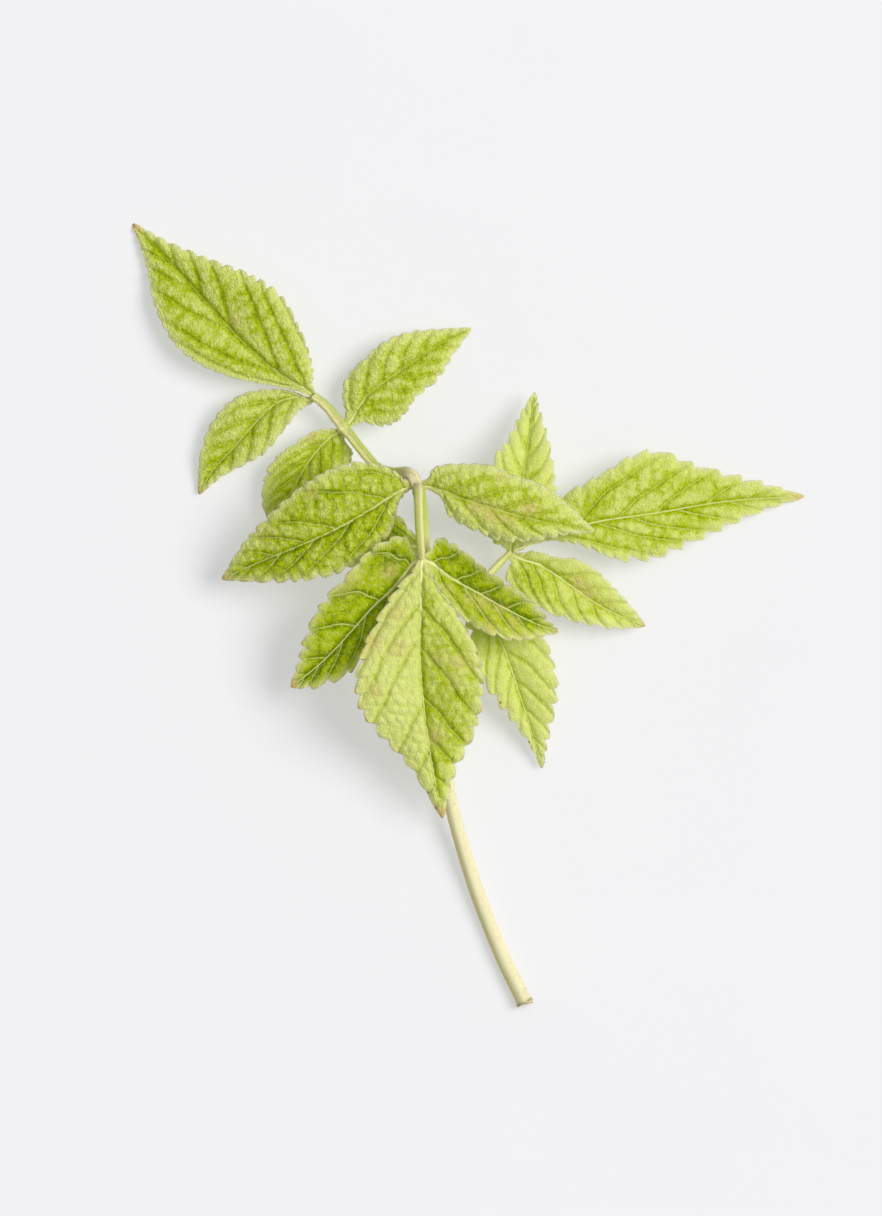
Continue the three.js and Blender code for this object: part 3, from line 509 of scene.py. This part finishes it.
def tube(name, points, sides, rings, form, slant=0.0):
    """A stalk as a closed tube. form gives its radius share at each turn (0 on top) and length share.
    slant leans its first end over, as a slanted cut does."""
    bm = bmesh.new()
    bmesh.ops.create_grid(bm, x_segments=sides, y_segments=rings, size=1)
    grid = read_layers(bm)
    turn, along = grid[:, 0], np.clip((grid[:, 1] + 1) / 2, 0, 1)
    middle, sideways, up, radius = tube_frame(points, along)
    radius = (radius * form(turn, along))[:, None]
    angle = (np.pi * turn)[:, None]
    lean = slant * radius * np.sin(angle) * bell(along, 0.012)[:, None]
    places = middle + radius * (np.cos(angle) * up + np.sin(angle) * sideways)
    places = (places + lean * np.cross(up, sideways)) * MM
    places[:, 2] = np.maximum(places[:, 2], 0)
    layers = [bm.verts.layers.float.new(key) for key in ("turn", "along")]
    for vertex, place, values in zip(bm.verts, places, zip(turn, along)):
        vertex.co = place
        for layer, value in zip(layers, values):
            vertex[layer] = value
    bmesh.ops.remove_doubles(bm, verts=bm.verts, dist=1e-7)
    ends = [edge for edge in bm.edges if edge.is_boundary]
    caps = bmesh.ops.holes_fill(bm, edges=ends, sides=0)["faces"]
    bmesh.ops.inset_individual(bm, faces=caps, thickness=0.12 * MM, depth=-0.03 * MM)
    bmesh.ops.recalc_face_normals(bm, faces=bm.faces)
    return finished(name, bm)


def finished(name, bm):
    """The smooth-shaded piece that a bmesh makes."""
    mesh = bpy.data.meshes.new(name)
    bm.to_mesh(mesh)
    bm.free()
    for polygon in mesh.polygons:
        polygon.use_smooth = True
    piece = bpy.data.objects.new(name, mesh)
    bpy.context.scene.collection.objects.link(piece)
    return piece


def stem_form(turn, along):
    """The main stem is faintly square, with fine ribs, and swells a little below the leaf node."""
    square = 0.035 * np.cos(4 * np.pi * turn + 2 * along)
    ribs = 0.014 * np.cos(18 * np.pi * turn + 9 * along) + 0.008 * np.cos(46 * np.pi * turn - 14 * along)
    return 1 + square + ribs + 0.12 * bell(along - 1, 0.05)


def rachis_form(turn, along):
    """The upper leaf's stalk is channelled on top, and swells at the node and at its pair of leaflets."""
    channel = 0.3 * bell(turn, 0.13) * np.clip(along / 0.15, 0, 1)
    rims = 0.1 * bell(np.abs(turn) - 0.26, 0.09)
    joints = 0.05 * bell(along - 0.06, 0.07) + 0.3 * bell(along - 0.73, 0.03) + 0.12 * bell(along - 1, 0.04)
    return 0.97 - channel + rims + joints + 0.012 * np.cos(30 * np.pi * turn)


def petiole_form(turn, along):
    """A petiole has a ridge on top, to the left, and a shallow channel beside it."""
    ridge = 0.16 * bell(turn + 0.16, 0.1)
    channel = 0.16 * bell(turn - 0.12, 0.13)
    return 0.98 + ridge - channel + 0.12 * bell(along, 0.1) + 0.012 * np.cos(26 * np.pi * turn)


def vein_form(turn, along):
    return 1 + 0.03 * np.cos(6 * np.pi * turn)


def midrib(name, shape):
    """The cord of a leaflet's midrib, lying in its furrow and standing out under the blade."""
    along = np.linspace(0, 0.97, 24)
    spine = curve(shape["rib"], along)
    radius = 0.14 + 0.22 * (1 - along) ** 2
    spine[:, 2] += 0.18 - rib_furrow(shape, along) - radius
    length = np.linalg.norm(np.diff(spine, axis=0), axis=1).sum()
    spine += way_in(shape["rib"][0]) * bell(along * length, ROOT_REACH)[:, None]
    return tube(name, np.column_stack([spine, radius]), 10, 90, vein_form)


def hairs(name, roots, ways, lengths, width):
    """Short stiff hairs, each a slim three-sided spike. Their number is a power of two."""
    bm = bmesh.new()
    bmesh.ops.create_cone(bm, cap_ends=True, segments=3, radius1=1, radius2=0.25, depth=1)
    number = bm.verts.layers.int.new("number")
    made = 1
    while made < len(roots):
        copies = bmesh.ops.duplicate(bm, geom=[*bm.verts, *bm.edges, *bm.faces])["geom"]
        for vertex in copies:
            if isinstance(vertex, bmesh.types.BMVert):
                vertex[number] += made
        made *= 2
    which = np.array([vertex[number] for vertex in bm.verts])
    bm.verts.layers.int.remove(number)
    ways = unit(ways)
    sides = unit(np.cross(ways, rng.normal(size=ways.shape)))
    parts = np.stack([sides * width, np.cross(ways, sides) * width, ways * lengths[:, None]], axis=1)
    spikes = read_layers(bm) + (0, 0, 0.5)
    places = (roots[which] + (spikes[:, :, None] * parts[which]).sum(axis=1)) * MM
    places[:, 2] = np.maximum(places[:, 2], 0)
    for vertex, place in zip(bm.verts, places):
        vertex.co = place
    return finished(name, bm)


def margin_hairs(name, places):
    """Fine hairs that stand out from both margins of a leaflet."""
    row = rng.integers(3, len(places) - 3, FRINGE)
    right = rng.integers(0, 2, (FRINGE, 1)) == 1
    edge = np.where(right, places[row, -1], places[row, 0])
    out = unit((edge - np.where(right, places[row, -5], places[row, 4])) * (1, 1, 0.3))
    ways = out + (0, 0, 0.15) + rng.normal(size=out.shape) * 0.35
    return hairs(name, edge - out * 0.12, ways, rng.uniform(0.15, 0.45, FRINGE), HAIR)


def stalk_hairs(name, points, number, span, length):
    """Hairs all round a stalk, over a span of its length, leaning towards its tip."""
    along = rng.uniform(*span, number)
    turn = rng.uniform(-1, 1, number) * np.pi
    middle, sideways, up, radius = tube_frame(points, along)
    out = np.cos(turn)[:, None] * up + np.sin(turn)[:, None] * sideways
    forward = np.cross(up, sideways)
    roots = middle + out * radius[:, None] * 0.96
    ways = out + forward * rng.uniform(-0.1, 0.9, (number, 1)) + rng.normal(size=out.shape) * 0.25
    lengths = length * rng.uniform(0.5, 1.2, number)
    tips = roots + unit(ways) * lengths[:, None]
    roots[:, 2] = np.maximum(roots[:, 2], 0.05)
    ways = np.where((tips[:, 2] < 0.05)[:, None], ways * (1, 1, 0) + (0, 0, 0.05), ways)
    return hairs(name, roots, ways, lengths, HAIR)


# ---------------------------------------------------------------- finishes

class Wire:
    """A node's output that Python's operators work on: each adds a Math node."""

    def __init__(self, finish, socket):
        self.finish = finish
        self.socket = socket

    def math(self, operation, *values):
        return self.finish.add("Math", {"operation": operation}, dict(enumerate(values)))

    def __add__(self, other):
        return self.math("ADD", self, other)

    def __sub__(self, other):
        return self.math("SUBTRACT", self, other)

    def __rsub__(self, other):
        return self.math("SUBTRACT", other, self)

    def __mul__(self, other):
        return self.math("MULTIPLY", self, other)

    def __truediv__(self, other):
        return self.math("DIVIDE", self, other)

    def __abs__(self):
        return self.math("ABSOLUTE", self)

    def fraction(self):
        return self.math("FRACT", self)

    def at_least(self, other):
        return self.math("MAXIMUM", self, other)

    __radd__ = __add__
    __rmul__ = __mul__


class Finish:
    """A material in the making."""

    def __init__(self, name):
        self.material = bpy.data.materials.new(name)
        self.material.use_nodes = True
        self.nodes = self.material.node_tree.nodes
        self.nodes.clear()

    def add(self, kind, settings, sockets, output=0):
        """A node of a kind, with its settings made first, then its sockets given values or wires."""
        node = self.nodes.new("ShaderNode" + kind)
        for key, value in settings.items():
            setattr(node, key, value)
        for key, value in sockets.items():
            if isinstance(value, Wire):
                self.material.node_tree.links.new(value.socket, node.inputs[key])
            else:
                node.inputs[key].default_value = value
        return Wire(self, node.outputs[output])

    def read(self, name):
        return self.add("Attribute", {"attribute_name": name}, {}, "Fac")

    def place(self):
        return self.add("TexCoord", {}, {}, "Object")

    def smooth(self, value, low, high):
        """0 below low, 1 above high, and a smooth step between them."""
        sockets = {"Value": value, "From Min": low, "From Max": high}
        return self.add("MapRange", {"interpolation_type": "SMOOTHSTEP"}, sockets, "Result")

    def blend(self, share, first, second):
        settings = {"data_type": "RGBA", "clamp_factor": True}
        return self.add("Mix", settings, {0: share, 6: first, 7: second}, 2)

    def noise(self, size, detail=2.0, place=None):
        """Soft noise with lumps of a size in mm."""
        sockets = {"Vector": place or self.place(), "Scale": 1 / (size * MM), "Detail": detail}
        return self.add("TexNoise", {}, sockets, "Fac")

    def net(self, size):
        """The distance from the walls of small cells of a size in mm, as a share of their size."""
        sockets = {"Vector": self.place(), "Scale": 1 / (size * MM)}
        return self.add("TexVoronoi", {"feature": "DISTANCE_TO_EDGE"}, sockets, "Distance")

    def bump(self, height, depth):
        return self.add("Bump", {}, {"Height": height, "Distance": depth * MM, "Strength": 1.0}, "Normal")

    def close(self, colour, roughness, normal, glow=0.0, glow_colour=None, lit=0.0, gloss=0.08):
        """The surface. glow is the share of light that passes through it, lit the light it gives off."""
        sockets = {"Base Color": colour, "Roughness": roughness, "Normal": normal}
        sockets["Specular IOR Level"] = gloss
        if lit:
            sockets.update({"Emission Color": PAPER, "Emission Strength": lit})
        surface = self.add("BsdfPrincipled", {}, sockets, "BSDF")
        if glow:
            through = self.add("BsdfTranslucent", {}, {"Color": glow_colour, "Normal": normal}, "BSDF")
            surface = self.add("MixShader", {}, {0: glow, 1: surface, 2: through}, "Shader")
        output = self.nodes.new("ShaderNodeOutputMaterial")
        self.material.node_tree.links.new(surface.socket, output.inputs["Surface"])
        return self.material


def shade(red, green, blue):
    """A colour given as it looks, on a scale of 0 to 255."""
    parts = [part / 255 for part in (red, green, blue)]
    return (*[p / 12.92 if p <= 0.04045 else ((p + 0.055) / 1.055) ** 2.4 for p in parts], 1.0)


def leaf_finish(name, deep, middle, pale, through):
    """Leaf tissue, with veins, a fine net, cream edges, bleached patches, browned tips and painted shade."""
    f = Finish(name)
    along, margin, relief_shade, steep = f.read("along"), f.read("margin"), f.read("relief_shade"), f.read("steep")
    rib, pale_veins, sear = abs(f.read("rib")), f.read("pale"), f.read("sear")
    mottle, broad, grain = f.noise(2.2, 3.0), f.noise(9.0, 1.0), f.noise(0.45, 2.0)
    speck, fine = f.noise(1.0, 2.0), f.net(0.6)

    # Painted shade and light: the halves' tones and the relief mask darken shaded parts and pale lit ones.
    tissue = f.read("tone_and_shade") + (relief_shade - 0.42) * 0.85 + (mottle - 0.5) * 1.1 + (broad - 0.5) * 0.6
    tissue = tissue + (grain - 0.5) * (1.2 - pale_veins * 0.6) + (speck - 0.5) * 0.9
    tissue = tissue + (1 - f.smooth(margin, 0.0, 3.5)) * 0.35
    colour = f.blend(f.smooth(tissue, -0.05, 0.5), deep, middle)
    colour = f.blend(f.smooth(tissue, 0.4, 1.1), colour, pale)
    # Cream on the palest tissue: partly fine white hairs, partly painted glints of light on them.
    colour = f.blend(f.smooth(tissue, 0.95, 1.7) * 0.75, colour, shade(255, 255, 174))
    edge = 1 - f.smooth(margin + (mottle - 0.5) * 1.6 + (speck - 0.5) * 1.2, 0.0, 1.9)
    colour = f.blend(edge * 0.75, colour, shade(248, 248, 172))
    bleach = f.read("bleach") * f.smooth(mottle * 0.5 + speck * 0.5, 0.3, 0.54)
    colour = f.blend(bleach * 0.9, colour, shade(242, 214, 144))

    to_vein = abs((f.read("phase") + 0.5).fraction() - 0.5) / steep
    to_twig = abs((f.read("twig") + 0.5).fraction() - 0.5) * TWIG_PITCH
    inside = f.smooth(margin, 0.1, 1.2)
    width = 0.22 - f.smooth(rib, 0.0, 9.0) * 0.07
    side_line = (1 - f.smooth(to_vein, width * 0.35, width)) * inside
    twig_line = (1 - f.smooth(to_twig, 0.04, 0.16)) * inside * f.smooth(rib, 1.0, 3.0) * 0.45
    base = 1 - f.smooth(along, 0.05, 0.35)
    rib_width = (1 - along) * (1 - along) * 0.2 + base * 0.4 + 0.1
    rib_line = 1 - f.smooth(rib, rib_width * 0.6, rib_width * 1.5)
    net_line = (1 - f.smooth(fine, 0.02, 0.14)) * 0.2
    cell_line = (1 - f.smooth(f.read("cell"), 0.02, 0.14)) * 0.6
    lines = side_line.at_least(rib_line).at_least(twig_line).at_least(cell_line)
    lines = (lines * pale_veins * 0.95).at_least(rib_line * base * 0.75)
    colour = f.blend(net_line, colour, shade(206, 218, 60))
    colour = f.blend(lines, colour, shade(231, 235, 130))

    lip = 1 - f.smooth(margin, 0.05, 0.6)
    colour = f.blend(lip * (pale_veins * 0.25 + 0.6), colour, shade(255, 250, 204))
    tip = sear * f.smooth(along + (mottle - 0.5) * 0.06, 0.94, 0.985)
    colour = f.blend(tip * 0.85, colour, shade(248, 214, 152))
    scorch = f.read("scorch") * f.smooth(f.noise(2.6), 0.34, 0.54) * (1 - f.smooth(margin, 0.15, 0.5))
    burnt = sear * f.smooth(along, 0.97, 1.0) * (1 - f.smooth(margin, 0.1, 0.9))
    colour = f.blend((scorch * 0.85).at_least(burnt * 0.3), colour, shade(204, 134, 66))
    colour = f.blend(f.smooth(f.read("fleck"), 0.4, 0.8) * 0.8, colour, shade(112, 76, 40))

    height = f.smooth(fine, 0.0, 0.3) * 0.6 + grain * 0.7
    crinkle = f.bump(height * f.read("crinkle"), 0.18)
    return f.close(colour, 0.6, crinkle, through, shade(206, 228, 20), gloss=0.0)


def stalk_finish(name, body, green, strip, ends):
    """A stalk's skin: a body colour, a strip of another colour along it, and other colours at its two ends,
    with fine lengthwise fibres. On most stalks the strip is a green ridge; on the main stem it is an
    olive strip down the side away from the lamp, painted shade. strip: (turn, half-width, strength).
    ends: (start, stop, strength, colour)."""
    f = Finish(name)
    turn, along = f.read("turn"), f.read("along")
    fibre = f.noise(0.9, 3.0, f.add("CombineXYZ", {}, {0: turn * 0.012, 1: along * 0.006, 2: 0.0}, "Vector"))
    speck = f.noise(0.7, 2.0)
    side = 1 - f.smooth(abs(turn - strip[0]), strip[1] * 0.5, strip[1])
    colour = f.blend(side * strip[2] + (fibre - 0.5) * 0.6, body, green)
    colour = f.blend(f.smooth(speck, 0.5, 0.75) * 0.3, colour, shade(240, 234, 190))
    for start, stop, strength, tint in ends:
        share = 1 - f.smooth(along, start, stop) if start < stop else f.smooth(along, stop, start)
        colour = f.blend(share * strength, colour, tint)
    return f.close(colour, 0.6, f.bump(fibre + speck * 0.4, 0.05), 0.1, shade(226, 222, 140))


def vein_finish(name):
    """The midrib's cord: cream where it leaves the stalk, and as green as its leaflet further out."""
    f = Finish(name)
    along, pale = f.read("along"), f.read("pale")
    share = pale * 0.8 + (1 - f.smooth(along, 0.0, 0.3)) * 0.5 - f.smooth(along, 0.4, 1.0) * 0.2
    colour = f.blend(share + (f.noise(0.8) - 0.5) * 0.25, shade(168, 190, 24), shade(248, 248, 176))
    return f.close(colour, 0.55, f.bump(f.noise(0.4), 0.04), 0.1, shade(214, 224, 110))


def hair_finish(name, light, dark):
    f = Finish(name)
    colour = f.blend(f.noise(1.5), light, dark)
    return f.close(colour, 0.5, f.bump(f.noise(0.3), 0.01), 0.3, light)


def floor_finish(name, light, dark, lit):
    f = Finish(name)
    colour = f.blend(f.noise(40.0), light, dark)
    return f.close(colour, 0.8, f.bump(f.noise(1.0), 0.005), lit=lit)


# ---------------------------------------------------------------- the scene

def mark(piece, **values):
    """Gives a whole piece one value of each named attribute."""
    for key, value in values.items():
        layer = piece.data.attributes.new(key, "FLOAT", "POINT")
        layer.data.foreach_set("value", np.full(len(piece.data.vertices), value, dtype=np.float32))


def place_piece(piece, slot, *finishes, node=None):
    """Gives a piece its finishes and its body, and hides the solid that it stands for. slot is not used."""
    for finish in finishes:
        piece.data.materials.append(finish)
    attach(piece, "root")
    if node:
        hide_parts(node)


def add_leaflets():
    upper = leaf_finish("leaf_upper", shade(116, 142, 0), shade(193, 209, 0), shade(243, 251, 142), 0.34)
    under = leaf_finish("leaf_under", shade(176, 196, 84), shade(208, 220, 122), shade(234, 240, 164), 0.2)
    vein = vein_finish("leaf_midrib")
    fuzz = hair_finish("hair_leaf", shade(238, 238, 178), shade(214, 220, 136))
    for name, shape in LEAFLETS.items():
        sheet, fringe = leaf_sheet(name + "_blade", shape)
        mark(sheet, pale=shape["pale"], sear=shape["sear"], crinkle=shape["crinkle"])
        place_piece(sheet, "leaf_blade", upper, under, node=name)
        cord = midrib(name + "_midrib", shape)
        mark(cord, pale=shape["pale"])
        place_piece(cord, "leaf_blade", vein)
        place_piece(fringe, "leaf_blade", fuzz)


def add_stalks():
    cream, cream_green = shade(238, 232, 188), shade(236, 232, 160)
    painted_shade_olive, green = shade(222, 212, 124), shade(176, 200, 58)
    brown, dusky, tan = shade(182, 136, 78), shade(240, 230, 186), shade(232, 220, 174)
    looks = {
        "main_stem": (
            stem_form, 40, 420, CUT_SLANT, "stem_skin",
            # The main stem's olive strip down its left side, away from the lamp, is painted shade.
            (cream, painted_shade_olive, (-0.5, 0.36, 0.6), [(0.0, 0.009, 0.9, brown), (0.98, 0.72, 0.9, green)]),
        ),
        "upper_rachis": (
            rachis_form, 40, 260, 0.0, "stalk_skin",
            (
                shade(240, 238, 160), shade(178, 206, 58), (0.42, 0.3, 0.95),
                [(0.55, 0.75, 0.2, green), (0.1, 0.3, 0.9, dusky), (0.735, 0.7, 0.15, tan)],
            ),
        ),
        "front_petiole": (
            petiole_form, 36, 140, 0.0, "stalk_skin",
            (shade(230, 228, 152), shade(184, 208, 66), (0.38, 0.36, 0.9), [(0.1, 0.4, 0.5, tan)]),
        ),
        "right_petiole": (
            petiole_form, 30, 110, 0.0, "stalk_skin",
            (cream_green, green, (0.4, 0.3, 0.6), [(0.0, 0.1, 0.3, tan)]),
        ),
    }
    for name, (form, sides, rings, slant, slot, look) in looks.items():
        piece = tube(name + "_skin", joined(name), sides, rings, form, slant)
        place_piece(piece, slot, stalk_finish(name + "_finish", *look), node=name)


def add_hairs():
    cream = hair_finish("hair_cream", shade(244, 240, 214), shade(226, 222, 180))
    dusky = hair_finish("hair_dusky", shade(240, 232, 210), shade(216, 204, 172))
    coats = {
        "main_stem": [
            (4096, (0.0, 0.97), 0.4, cream),
            (512, (0.0, 0.012), 0.5, cream),
            (256, (0.95, 1.0), 0.4, dusky),
        ],
        "upper_rachis": [(2048, (0.1, 1.0), 0.4, cream), (1024, (0.0, 0.25), 0.45, dusky)],
        "front_petiole": [(1024, (0.0, 1.0), 0.35, cream), (128, (0.0, 0.15), 0.4, dusky)],
        "right_petiole": [(512, (0.0, 1.0), 0.35, cream)],
    }
    for name, layers in coats.items():
        for index, (number, span, length, finish) in enumerate(layers):
            piece = stalk_hairs(f"{name}_hairs_{index + 1}", joined(name), number, span, length)
            place_piece(piece, "stem_skin" if name == "main_stem" else "stalk_skin", finish)


def add_sheet(name, size, depth, finish):
    bm = bmesh.new()
    bmesh.ops.create_grid(bm, x_segments=1, y_segments=1, size=size)
    bmesh.ops.translate(bm, verts=bm.verts, vec=(0, 0, -depth))
    sheet = finished(name, bm)
    sheet.data.materials.append(finish)


def add_stage():
    """The floor, and a bright sheet below it, which only views from very low down can see."""
    paper = floor_finish("floor", shade(184, 184, 186), shade(182, 182, 184), FLOOR_LIT)
    add_sheet("floor", FLOOR_HALF, 0.0, paper)
    glow = floor_finish("backdrop", shade(8, 8, 8), shade(6, 6, 6), BACKDROP_LIT)
    add_sheet("backdrop", BACKDROP_HALF, BACKDROP_DEPTH, glow)


def add_light(name, place, size, power, colour):
    light = bpy.data.lights.new(name, "AREA")
    light.shape, light.size, light.energy, light.color = "DISK", size, power, colour
    lamp = bpy.data.objects.new(name, light)
    bpy.context.scene.collection.objects.link(lamp)
    lamp.location = place
    lamp.rotation_euler = Vector(place).to_track_quat("Z", "Y").to_euler()


def add_camera_and_lights():
    camera = bpy.data.cameras.new("camera")
    camera.type = "ORTHO"
    camera.ortho_scale = VIEW_HEIGHT
    eye = bpy.data.objects.new("camera", camera)
    eye.location = (*VIEW_CENTRE, CAMERA_HEIGHT)
    bpy.context.scene.collection.objects.link(eye)
    scene = bpy.context.scene
    scene.camera = eye
    scene.view_settings.view_transform = "Standard"
    scene.world = bpy.data.worlds.new("studio")
    scene.world.use_nodes = True
    sky = scene.world.node_tree.nodes["Background"]
    sky.inputs["Color"].default_value = (0.97, 0.98, 1.0, 1)
    sky.inputs["Strength"].default_value = 0.44
    add_light("window", (5.3, 1.5, 6.65), 5.5, 635.0, (1.0, 0.99, 0.97))


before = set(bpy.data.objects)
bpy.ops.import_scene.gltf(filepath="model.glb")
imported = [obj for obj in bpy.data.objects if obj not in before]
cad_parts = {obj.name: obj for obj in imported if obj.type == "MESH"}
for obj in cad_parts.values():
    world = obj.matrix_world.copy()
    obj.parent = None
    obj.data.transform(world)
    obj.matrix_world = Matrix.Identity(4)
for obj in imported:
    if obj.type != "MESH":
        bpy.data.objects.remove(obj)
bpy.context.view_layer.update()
add_camera_and_lights()
add_stage()
add_leaflets()
add_stalks()
add_hairs()
